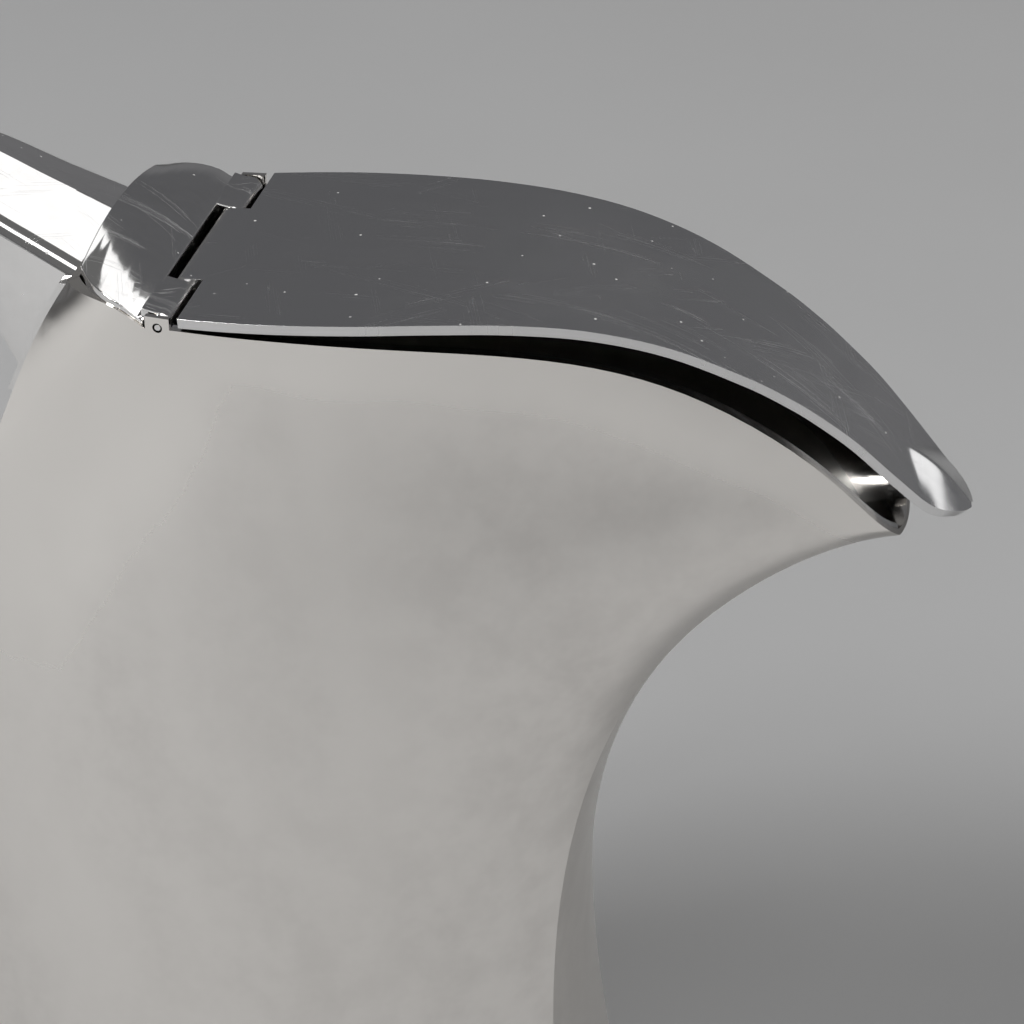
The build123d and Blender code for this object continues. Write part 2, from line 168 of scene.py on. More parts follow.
class Bench:
    """Builds one shader tree, node by node."""

    def __init__(self, tree: bpy.types.NodeTree) -> None:
        """Starts from an empty tree."""
        self.tree = tree
        tree.nodes.clear()

    def node(
        self, kind: str, settings: dict | None = None, inputs: dict | None = None
    ) -> bpy.types.Node:
        """Adds a node.

        Args:
            kind: The node's type name.
            settings: Its own settings, set before the inputs.
            inputs: Values, wires or sockets by input name or index.

        Returns:
            The node.
        """
        made = self.tree.nodes.new(kind)
        for name, value in (settings or {}).items():
            setattr(made, name, value)
        for key, value in (inputs or {}).items():
            socket = made.inputs[key]
            source = value.socket if isinstance(value, Wire) else value
            if isinstance(source, bpy.types.NodeSocket):
                self.tree.links.new(source, socket)
            else:
                socket.default_value = source
        return made

    def math(self, operation: str, *values: Wire | float) -> Wire:
        """A Math node of that operation on the values."""
        made = self.node("ShaderNodeMath", {"operation": operation}, dict(enumerate(values)))
        return Wire(self, made.outputs[0])

    def blend(self, share: Wire | float, first: object, second: object) -> Wire:
        """Mixes two colours.

        Args:
            share: 0 gives the first colour and 1 the second.
            first: A colour or a wire.
            second: A colour or a wire.

        Returns:
            The mixed colour.
        """
        made = self.node(
            "ShaderNodeMix",
            {"data_type": "RGBA", "clamp_factor": True},
            {0: share, 6: first, 7: second},
        )
        return Wire(self, made.outputs[2])

    def place(
        self,
        stretch: tuple[float, float, float] = (1, 1, 1),
        turn: tuple[float, float, float] = (0, 0, 0),
    ) -> Wire:
        """Object coordinates, turned by the angles in degrees and then stretched."""
        where = self.node("ShaderNodeTexCoord")
        turned = self.node(
            "ShaderNodeMapping",
            {"vector_type": "POINT"},
            {"Vector": where.outputs["Object"], "Rotation": [math.radians(a) for a in turn]},
        )
        stretched = self.node(
            "ShaderNodeMapping",
            {"vector_type": "POINT"},
            {"Vector": turned.outputs["Vector"], "Scale": stretch},
        )
        return Wire(self, stretched.outputs["Vector"])

    def cloud(
        self, where: Wire, scale: float, detail: float = 3.0, rough: float = 0.5, warp: float = 0.0
    ) -> Wire:
        """Soft noise.

        Args:
            where: The coordinates it lies on.
            scale: Lumps per metre.
            detail: How many finer layers it has.
            rough: How strong the finer layers are.
            warp: How far it is pulled about.

        Returns:
            A value about 0.5.
        """
        made = self.node(
            "ShaderNodeTexNoise",
            {"noise_dimensions": "3D"},
            {
                "Vector": where,
                "Scale": scale,
                "Detail": detail,
                "Roughness": rough,
                "Distortion": warp,
            },
        )
        return Wire(self, made.outputs["Fac"])

    def hairlines(
        self, face: Face, turn: float, long: float, fine: float, width: float, kept: float
    ) -> Wire:
        """Thin broken lines that all run roughly one way, such as polishing scratches.

        Args:
            face: The face that they lie in.
            turn: Angle in degrees that lays them within the face.
            long: Lumps per metre along a line.
            fine: Lumps per metre across the lines.
            width: Share of the noise's range that counts as a line.
            kept: Value of a coarser noise above which lines show.

        Returns:
            1 on a line and 0 off it.
        """
        turned = face.lay(turn)
        gaps = face.draw(long * GAP_ALONG, fine * GAP_ACROSS)
        lines = self.cloud(self.place(face.draw(long, fine), turned), 1.0, 0.0, 0.4, 0.1)
        broken = self.cloud(self.place(gaps, turned), 1.0, 1.0)
        fade = broken.ramp(kept, kept + GAP_FADE)
        return abs(lines - MID_NOISE).ramp(width, width * 0.25) * fade

    def specks(self, scale: float, size: float, share: float) -> Wire:
        """Small round specks.

        Args:
            scale: Cells per metre, one speck at most in each.
            size: A speck's radius as a share of a cell.
            share: Part of the cells that have one.

        Returns:
            1 on a speck and 0 off it.
        """
        cells = self.node(
            "ShaderNodeTexVoronoi",
            {"voronoi_dimensions": "3D", "feature": "F1"},
            {"Vector": self.place(), "Scale": scale, "Randomness": 1.0},
        )
        away = Wire(self, cells.outputs["Distance"])
        lot = self.node("ShaderNodeSeparateColor", inputs={0: cells.outputs["Color"]})
        chosen = Wire(self, lot.outputs[0]).ramp(1.0 - share, 1.0 - share * 0.7)
        return away.ramp(size, size * 0.5) * chosen


# -------------------------------------------------------------------- finishes

HANDLING_SCRATCHES = ((-37, 22, 0.60), (71, 26, 0.61), (24, 12, 0.60))  # turn, lumps, kept
PATCH_SHARE, SMEAR_SHARE = 0.6, 0.4       # of dull patches and of wiped smears in the haze
POLISH_SHINE, POLISH_CLEAN = 0.72, 0.6    # roughness and tarnish that a kept polish is without
SMOOTHEST, ROUGHEST = 0.03, 0.7
DUST_COLOUR = (0.80, 0.79, 0.77, 1.0)
DUST_CELLS, DUST_SIZE = 230, 0.075
MOUTH_HEIGHT, MOUTH_FALL = 0.2095, 4.9    # level of the mouth, and its fall towards the spout
FALL_FROM = 0.03                          # where along the mouth the fall begins
CORNER_AT = 0.032                         # how far behind the middle the back corner lies


@dataclass(frozen=True)
class Silver:
    """A worked silver surface.

    Attributes:
        name: The material's name.
        colour: Clean metal.
        tarnish: Metal under a film of tarnish.
        gloss: Roughness of clean metal.
        haze: Roughness added where the surface has gone dull.
        cloud_size: Dull patches per metre.
        grain: Depth of the brushed grain, in metres.
        grain_rough: How much the grain varies the roughness.
        face: The way in which its lines lie.
        scratches: Depth of the polishing scratches, in metres.
        line_rough: How much the scratches roughen the metal.
        stain: How strongly tarnish colours the metal.
        dust: Part of the cells that hold a speck of dust.
        bright_top: Whether its upper edge kept its polish.
    """

    name: str
    colour: tuple[float, float, float, float]
    tarnish: tuple[float, float, float, float]
    gloss: float
    haze: float
    cloud_size: float
    grain: float
    grain_rough: float
    face: Face
    scratches: float
    line_rough: float
    stain: float
    dust: float
    bright_top: bool = False

    def kept_polish(self, bench: Bench) -> Wire:
        """1 where the sheet still shines, along the mouth and at the deck's corner."""
        parts = bench.node("ShaderNodeSeparateXYZ", inputs={"Vector": bench.place()})
        along, _, up = (Wire(bench, parts.outputs[i]) for i in range(3))
        beyond = (along - FALL_FROM).most(0.0)
        below = MOUTH_HEIGHT - beyond * beyond * MOUTH_FALL - up
        edge = bench.cloud(bench.place(), 40.0, 0.0) * 0.006
        mouth = (below + edge).ramp(0.013, 0.006)
        corner = (below * 0.55 + (along + CORNER_AT).most(0.0) + edge).ramp(0.052, 0.022)
        return mouth.most(corner)

    def make(self) -> bpy.types.Material:
        """Builds the material."""
        material = bpy.data.materials.new(self.name)
        material.use_nodes = True
        bench = Bench(material.node_tree)
        patches = bench.cloud(bench.place((1.0, 1.0, 0.6)), self.cloud_size, 2.0, 0.45, 0.3)
        smears = bench.cloud(
            bench.place((1.0, 1.0, 0.2), (0, 14, 0)), self.cloud_size * 3.0, 2.0, 0.5, 0.2
        )
        mottle = bench.cloud(bench.place(), self.cloud_size * 9, 3.0, 0.65)
        dull = patches.ramp(0.32, 0.70) * PATCH_SHARE + smears.ramp(0.36, 0.72) * SMEAR_SHARE
        lines = bench.hairlines(self.face, 5, 16, 1900, 0.014, 0.54)
        for turn, long, kept in HANDLING_SCRATCHES:
            lines = lines + bench.hairlines(self.face, turn, long, 1700, 0.008, kept)
        lines = lines.least(1.0)
        grain = bench.cloud(bench.place(self.face.draw(14, 2100)), 1.0, 3.0, 0.65)
        marks = dull * mottle.ramp(0.30, 0.72, 0.35, 1.0)
        rough = (
            self.gloss
            + dull * self.haze
            + lines * self.line_rough
            + (mottle - MID_NOISE) * (0.5 * self.haze)
            + (grain - MID_NOISE) * self.grain_rough
        )
        if self.bright_top:
            polish = self.kept_polish(bench)
            rough = rough * (1.0 - polish * POLISH_SHINE)
            marks = marks * (1.0 - polish * POLISH_CLEAN)
        colour = bench.blend(marks * self.stain, self.colour, self.tarnish)
        height = grain * self.grain - lines * self.scratches
        bump = bench.node(
            "ShaderNodeBump", inputs={"Strength": 1.0, "Distance": 1.0, "Height": height}
        )
        shader_inputs = {
            "Base Color": colour,
            "Metallic": 1.0,
            "Roughness": rough.most(SMOOTHEST).least(ROUGHEST),
            "Normal": bump.outputs["Normal"],
        }
        if self.dust:
            specks = bench.specks(DUST_CELLS, DUST_SIZE, self.dust)
            shader_inputs["Base Color"] = bench.blend(specks, colour, DUST_COLOUR)
            shader_inputs["Metallic"] = 1.0 - specks
        shader = bench.node("ShaderNodeBsdfPrincipled", inputs=shader_inputs)
        bench.node("ShaderNodeOutputMaterial", inputs={"Surface": shader.outputs[0]})
        return material


HAZED_SILVER = Silver(
    name="hazed_sheet_silver",
    colour=(0.97, 0.94, 0.90, 1.0),
    tarnish=(0.62, 0.59, 0.565, 1.0),
    gloss=0.32,
    haze=0.09,
    cloud_size=11.0,
    grain=0.0000004,
    grain_rough=0.03,
    face=Face.SIDE,
    scratches=0.0,
    line_rough=0.004,
    stain=0.50,
    dust=0.0,
    bright_top=True,
)
POLISHED_SILVER = Silver(
    name="polished_silver",
    colour=(0.95, 0.94, 0.93, 1.0),
    tarnish=(0.66, 0.65, 0.64, 1.0),
    gloss=0.07,
    haze=0.06,
    cloud_size=36.0,
    grain=0.0000004,
    grain_rough=0.02,
    face=Face.TOP,
    scratches=0.0000060,
    line_rough=0.12,
    stain=0.35,
    dust=0.9,
)
BRUSHED_SILVER = Silver(
    name="brushed_lid_silver",
    colour=(0.86, 0.855, 0.855, 1.0),
    tarnish=(0.62, 0.615, 0.61, 1.0),
    gloss=0.17,
    haze=0.07,
    cloud_size=20.0,
    grain=0.0000030,
    grain_rough=0.10,
    face=Face.TOP,
    scratches=0.0000022,
    line_rough=0.12,
    stain=0.35,
    dust=1.0,
)


class Dresser:
    """Makes each finish once and puts it on pieces."""

    def __init__(self) -> None:
        """Builds the three silver finishes."""
        self.finish = {
            Slot.HAZED: HAZED_SILVER.make(),
            Slot.POLISHED: POLISHED_SILVER.make(),
            Slot.BRUSHED: BRUSHED_SILVER.make(),
        }

    def dress(self, piece: bpy.types.Object, slot: Slot) -> None:
        """Puts the slot's finish on every material slot of the piece."""
        if not piece.data.materials:
            piece.data.materials.append(self.finish[slot])
        for index in range(len(piece.material_slots)):
            piece.material_slots[index].link = "OBJECT"
            piece.material_slots[index].material = self.finish[slot]


# -------------------------------------------------------------------- metalwork

MM = 0.001
HINGE = Vector(frame["joints"][0]["pos_m"])
REST_ANGLE = math.radians(3.4)
SHARP_ANGLE = math.radians(28)      # a crease sharper than this stays a crease
ROUNDED_ANGLE = math.radians(38)    # an edge sharper than this is rounded
ROUND_STEPS = 3


def through(rows: list[tuple[float, ...]], steps: int) -> list[tuple[float, ...]]:
    """A smooth run of rows through the given ones.

    Args:
        rows: Rows of sizes; every row is kept.
        steps: How many spans each gap is cut into.

    Returns:
        The finer rows, first and last included.
    """
    fine = []
    last = len(rows) - 1
    for index in range(last):
        before, start = rows[max(index - 1, 0)], rows[index]
        end, after = rows[index + 1], rows[min(index + 2, last)]
        span = end[0] - start[0]
        for step in range(steps):
            t = step / steps
            row = []
            for p0, p1, p2, p3 in zip(before, start, end, after):
                slope_in = (p2 - p0) / (end[0] - before[0]) * span
                slope_out = (p3 - p1) / (after[0] - start[0]) * span
                row.append(
                    (2 * t**3 - 3 * t**2 + 1) * p1
                    + (t**3 - 2 * t**2 + t) * slope_in
                    + (3 * t**2 - 2 * t**3) * p2
                    + (t**3 - t**2) * slope_out
                )
            fine.append(tuple(row))
    fine.append(tuple(rows[-1]))
    return fine


def plate_mesh(
    name: str, tops: list[list[Vector]], unders: list[list[Vector]]
) -> bpy.types.Mesh:
    """A closed plate between two grids of points that match.

    Args:
        name: The mesh's name.
        tops: Rows of points on the upper face, each from one edge to the other.
        unders: The matching rows on the lower face.

    Returns:
        The mesh, with its faces turned outwards.
    """
    shape = bmesh.new()
    upper = [[shape.verts.new(p) for p in row] for row in tops]
    lower = [[shape.verts.new(p) for p in row] for row in unders]
    for grid in (upper, lower):
        for row, following in zip(grid, grid[1:]):
            for i in range(len(row) - 1):
                shape.faces.new((row[i], row[i + 1], following[i + 1], following[i]))
    for k in range(len(upper) - 1):
        for edge in (0, -1):
            shape.faces.new(
                (upper[k][edge], upper[k + 1][edge], lower[k + 1][edge], lower[k][edge])
            )
    for end in (0, -1):
        for i in range(len(upper[end]) - 1):
            shape.faces.new((upper[end][i], upper[end][i + 1], lower[end][i + 1], lower[end][i]))
    bmesh.ops.recalc_face_normals(shape, faces=shape.faces)
    mesh = bpy.data.meshes.new(name)
    shape.to_mesh(mesh)
    shape.free()
    return mesh


def joined(mesh: bpy.types.Mesh, *others: bpy.types.Mesh) -> bpy.types.Mesh:
    """Adds the other meshes to the first and removes them."""
    shape = bmesh.new()
    shape.from_mesh(mesh)
    for other in others:
        shape.from_mesh(other)
        bpy.data.meshes.remove(other)
    shape.to_mesh(mesh)
    shape.free()
    return mesh


def finish_piece(
    mesh: bpy.types.Mesh,
    name: str,
    round_edge: float,
    body: Body,
    slot: Slot,
    dresser: Dresser,
    *nodes: str,
) -> bpy.types.Object:
    """Rounds a piece's edges, dresses it and puts it in place of its CAD nodes.

    Args:
        mesh: The piece's mesh, in place.
        name: The piece's name.
        round_edge: Radius of its rounded edges, in metres.
        body: The body that it moves with.
        slot: Its finish.
        dresser: Where the finishes come from.
        nodes: The CAD nodes that it stands for.

    Returns:
        The finished piece.
    """
    piece = bpy.data.objects.new(name, mesh)
    bpy.context.scene.collection.objects.link(piece)
    mesh.shade_smooth()
    mesh.set_sharp_from_angle(angle=SHARP_ANGLE)
    if round_edge:
        bevel = piece.modifiers.new("edge", "BEVEL")
        bevel.width = round_edge
        bevel.segments = ROUND_STEPS
        bevel.limit_method = "ANGLE"
        bevel.angle_limit = ROUNDED_ANGLE
        bevel.harden_normals = True
        evaluated = piece.evaluated_get(bpy.context.evaluated_depsgraph_get())
        baked = bpy.data.meshes.new_from_object(evaluated)
        piece.modifiers.clear()
        piece.data = baked
        baked.name = name
    dresser.dress(piece, slot)
    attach(piece, body.value)
    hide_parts(*nodes)
    log.info("piece %s, finish %s, %d faces", name, slot.value, len(piece.data.polygons))
    return piece


@dataclass
class Lid:
    """The long lid plate with its ridged beak and lip.

    Attributes:
        sheet: Thickness of the plate, in mm.
        back_edge: The back edge, ahead of the pin, beside the fixed knuckles.
        back_height: Height of the top at the back edge, above the pin.
        arm_half: Half length of the arm that reaches back to the knuckle.
        knuckle_radius: Radius of the knuckle.
        mouth_half: Greatest half width of the mouth.
        widest: Where the mouth is widest, ahead of the pin.
        taper: How much the mouth narrows.
        taper_length: Over what length it does so.
        crest: Rows of (ahead, height) along the plate, after its back edge.
        beak: Rows of (ridge ahead, ridge height, edge ahead, edge half width, edge height).
        lip: The same for the rounded lip.
        columns: Spans across the plate.
        ridge_round: How soft the beak's ridge is, as a share of the half width.
    """

    sheet: float = 1.8
    back_edge: float = 3.8
    back_height: float = 2.05
    arm_half: float = 14.9
    knuckle_radius: float = 2.0
    mouth_half: float = 31.8
    widest: float = 22.2
    taper: float = 11.6
    taper_length: float = 40.0
    crest: tuple[tuple[float, float], ...] = (
        (12, 2.15), (22, 2.3), (35, 2.45), (48, 2.5), (62, 1.9), (75, 0), (88, -4.1),
        (101, -10.9), (108, -15.6),
    )
    beak: tuple[tuple[float, ...], ...] = (
        (112, -18.9, 112.6, 14.7, -19.3), (116.6, -22.6, 118.2, 13.3, -24.4),
        (121, -26.8, 123.6, 11.9, -30.4), (125.4, -31.6, 129.0, 10.1, -36.6),
    )
    lip: tuple[tuple[float, ...], ...] = (
        (128.4, -33.7, 131.0, 9.0, -38.6), (131.2, -36.1, 132.9, 7.6, -40.0),
        (133.8, -39.0, 134.7, 5.4, -41.2), (135.6, -41.2, 136.0, 3.0, -42.2),
        (136.4, -42.3, 136.6, 1.0, -42.7),
    )
    columns: int = 36
    ridge_round: float = 0.06

    def half_width(self, ahead: float) -> float:
        """Half width of the plate at a distance ahead of the pin."""
        run = (ahead - self.widest) / self.taper_length
        return self.mouth_half - self.taper * (math.hypot(1, run) - 1)

    def rows(self) -> list[tuple[float, ...]]:
        """Rows of (ridge ahead, ridge height, edge ahead, edge half width, edge height)."""
        top = ((self.back_edge, self.back_height), *self.crest)
        plate = [(a, z, a, self.half_width(a), z) for a, z in top]
        beak, lip = list(self.beak), list(self.lip)
        return through(plate + beak, 5)[:-1] + through(beak[-1:] + lip, 5)

    def place(self, ahead: float, across: float, up: float) -> Vector:
        """A point of the closed lid, in mm about the pin, set ajar and moved to the hinge."""
        cos, sin = math.cos(REST_ANGLE), math.sin(REST_ANGLE)
        turned = Vector((ahead * cos - up * sin, across, ahead * sin + up * cos))
        return HINGE + turned * MM

    def plate(self) -> bpy.types.Mesh:
        """The plate, its beak and the arm to the knuckle."""
        rows = self.rows()
        tops, unders = [], []
        for index, (ridge_a, ridge_z, edge_a, half, edge_z) in enumerate(rows):
            before, after = rows[max(index - 1, 0)], rows[min(index + 1, len(rows) - 1)]
            run = Vector((after[0] - before[0], after[1] - before[1])).normalized()
            top, under = [], []
            for column in range(self.columns + 1):
                t = 2 * column / self.columns - 1
                soft = self.ridge_round
                share = (math.hypot(t, soft) - soft) / (math.hypot(1, soft) - soft)
                ahead = ridge_a + (edge_a - ridge_a) * share
                up = ridge_z + (edge_z - ridge_z) * share
                top.append(self.place(ahead, t * half, up))
                inwards = (run.y * self.sheet, -run.x * self.sheet)
                under.append(self.place(ahead + inwards[0], t * half, up + inwards[1]))
            tops.append(top)
            unders.append(under)
        mesh = plate_mesh("lid_plate_sheet", tops, unders)
        arm_tops, arm_unders = [], []
        for ahead in (0.2, self.back_edge + 0.2):
            line = [t * self.arm_half for t in (-1, -0.5, 0, 0.5, 1)]
            high, low = self.knuckle_radius - 0.02, self.knuckle_radius - self.sheet
            arm_tops.append([self.place(ahead, y, high) for y in line])
            arm_unders.append([self.place(ahead, y, low) for y in line])
        return joined(mesh, plate_mesh("lid_arm", arm_tops, arm_unders))

    def build(self, dresser: Dresser) -> None:
        """Makes the lid and puts it on its hinge."""
        finish_piece(
            self.plate(), "lid_sheet", 0.4 * MM, Body.LID, Slot.BRUSHED, dresser, "lid_plate"
        )


@dataclass
class Deck:
    """The crowned deck behind the lid, with an arm to each fixed knuckle.

    Attributes:
        crown: Rows of (behind the pin, middle height, fall at crown_half), in mm.
        crown_half: Half width at which the fall is given.
        outline: Rows of (behind the pin, half width).
        sheet: Thickness.
        roll: How far the top rolls down at its two ends.
        roll_from: Where across the top the roll starts, as a share of the half width.
        arm: From and to, across, of the arm to a knuckle.
        arm_line: Rows of (behind the pin, height) along an arm's top.
        arm_under: Height of an arm's underside.
        columns: Spans across the deck.
        steps: Spans between two rows of the outline.
    """

    crown: tuple[tuple[float, ...], ...] = (
        (-2.8, 2.6, 0.4), (-7.0, 5.3, 1.2), (-12.0, 7.6, 3.4), (-16.35, 9.1, 6.8),
    )
    crown_half: float = 32.0
    outline: tuple[tuple[float, float], ...] = (
        (-2.8, 29.75), (-6.5, 29.1), (-10.0, 27.9), (-13.5, 25.3), (-16.35, 21.5),
    )
    sheet: float = 2.4
    roll: float = 1.9
    roll_from: float = 0.55
    arm: tuple[float, float] = (15.1, 28.7)
    arm_line: tuple[tuple[float, float], ...] = (
        (-3.4, 2.62), (-2.2, 2.3), (-1.1, 2.1), (0.0, 2.04),
    )
    arm_under: float = 0.6
    columns: int = 40
    steps: int = 6

    def plate(self) -> bpy.types.Mesh:
        """The deck's sheet with its two arms."""
        widths = through(list(self.outline), self.steps)
        crowns = through(list(self.crown), 2 * self.steps)
        tops, unders = [], []
        front, back = self.outline[0][0], self.outline[-1][0]
        for behind, half in widths:
            nearest = min(crowns, key=lambda row: abs(row[0] - behind))
            rolled = self.roll * (1.0 - (front - behind) / (front - back))
            top, under = [], []
            for column in range(self.columns + 1):
                across = (2 * column / self.columns - 1) * half
                outwards = abs(across) / self.crown_half
                up = nearest[1] - nearest[2] * outwards**2
                past = (abs(across) / half - self.roll_from) / (1 - self.roll_from)
                roll = rolled * max(0.0, past) ** 2
                top.append(HINGE + Vector((behind, across, up - roll)) * MM)
                under.append(HINGE + Vector((behind, across, up - self.sheet)) * MM)
            tops.append(top)
            unders.append(under)
        arms = []
        for side in (-1, 1):
            arm_tops, arm_unders = [], []
            start, end = self.arm
            line = [side * (start + (end - start) * t) for t in (0, 0.5, 1)]
            for behind, up in self.arm_line:
                arm_tops.append([HINGE + Vector((behind, y, up)) * MM for y in line])
                arm_unders.append([HINGE + Vector((behind, y, self.arm_under)) * MM for y in line])
            arms.append(plate_mesh("deck_arm", arm_tops, arm_unders))
        return joined(plate_mesh("deck_sheet", tops, unders), *arms)

    def build(self, dresser: Dresser) -> None:
        """Makes the deck."""
        finish_piece(
            self.plate(), "deck_sheet", 0.45 * MM, Body.PITCHER, Slot.POLISHED, dresser,
            "hinge_deck",
        )


@dataclass
class Handle:
    """The hollow handle: a ridged back over two half shells.

    Attributes:
        stations: Rows of (outside x, outside z, inside x, inside z, half width) in mm.
        ridge: How far the ridge stands above the shoulders.
        shoulder: Radius of the rounded shoulders.
        sheet: Thickness.
        corner: Size of the rounded corner between a side and the inside.
        steps: Spans between two stations.
    """

    stations: tuple[tuple[float, ...], ...] = (
        (-28.6, 214.9, -41.6, 192.3, 17.3), (-41.0, 220.2, -48.5, 202.5, 15.4),
        (-56.0, 226.4, -58.5, 211.0, 13.8), (-76.0, 229.0, -75.0, 215.5, 13.2),
        (-94.0, 222.5, -88.5, 210.0, 12.8), (-107.0, 205.0, -97.5, 197.0, 12.6),
        (-112.0, 180.0, -101.5, 176.0, 12.6), (-112.0, 150.0, -101.5, 152.0, 12.6),
        (-105.0, 122.0, -95.5, 129.0, 12.8), (-90.5, 101.0, -83.5, 113.0, 13.4),
        (-67.8, 86.5, -66.2, 105.8, 14.4),
    )
    ridge: float = 3.3
    shoulder: float = 3.0
    sheet: float = 1.2
    corner: float = 1.2
    steps: int = 7

    def frames(self) -> list[tuple[Vector, Vector, float, float]]:
        """Finer stations as (inside point, direction outwards, depth, half width)."""
        run, rows = 0.0, []
        for index, row in enumerate(self.stations):
            if index:
                before = self.stations[index - 1]
                run += math.hypot(row[0] - before[0], row[1] - before[1])
            rows.append((run, *row))
        frames = []
        for _, out_x, out_z, in_x, in_z, half in through(rows, self.steps):
            outwards = Vector((out_x - in_x, 0, out_z - in_z))
            frames.append((Vector((in_x, 0, in_z)), outwards.normalized(), outwards.length, half))
        return frames

    def back_profile(self, depth: float, half: float, inset: float) -> list[tuple[float, float]]:
        """The back across the handle, from one shoulder's foot over the ridge to the other's."""
        edge = half - inset
        radius = self.shoulder - inset * 0.6
        top = depth - inset
        side = []
        for step in range(7):
            angle = math.radians(15 * step)
            round_y, round_z = radius * math.cos(angle), radius * math.sin(angle)
            side.append((edge - radius + round_y, top - radius + round_z))
        flat = edge - radius
        facet = [(flat * (1 - t), top + self.ridge * t) for t in (0.02, 0.15, 0.5, 0.85, 0.98)]
        half_line = side[:-1] + facet
        return half_line + [(0.0, top + self.ridge)] + [(-y, z) for y, z in reversed(half_line)]

    def shell_profile(
        self, depth: float, half: float, inset: float, side: int
    ) -> list[tuple[float, float]]:
        """One half shell, from the shoulder's foot down the side to the middle of the inside."""
        edge, corner = half - inset, self.corner
        line = [(edge, depth - self.shoulder - 0.05), (edge, depth * 0.5), (edge, inset + corner)]
        line += [(edge - corner * 0.3, inset + corner * 0.3), (edge - corner, inset)]
        line += [(edge * 0.4, inset), (0.02, inset)]
        return [(side * y, z) for y, z in line]

    def strip(
        self, name: str, profile: Callable[[float, float, float], list[tuple[float, float]]]
    ) -> bpy.types.Mesh:
        """A closed strip that runs along the handle.

        Args:
            name: The mesh's name.
            profile: Gives the points (across, outwards) for a depth, half width and inset.

        Returns:
            The mesh.
        """
        grids = []
        for inset in (0.0, self.sheet):
            grid = []
            for inside, outwards, depth, half in self.frames():
                line = profile(depth, half, inset)
                grid.append([(inside + Vector((0, y, 0)) + outwards * z) * MM for y, z in line])
            grids.append(grid)
        return plate_mesh(name, *grids)

    def build(self, dresser: Dresser) -> None:
        """Makes the back and the two shells."""
        finish_piece(
            self.strip("handle_ridged_back", self.back_profile), "handle_ridged_back", 0.0,
            Body.PITCHER, Slot.POLISHED, dresser, "handle_back",
        )
        for side, word in ((1, "left"), (-1, "right")):
            finish_piece(
                self.strip(
                    f"handle_half_{word}",
                    lambda depth, half, inset, s=side: self.shell_profile(depth, half, inset, s),
                ),
                f"handle_half_{word}", 0.0, Body.PITCHER, Slot.POLISHED, dresser,
                f"handle_shell_{word}",
            )


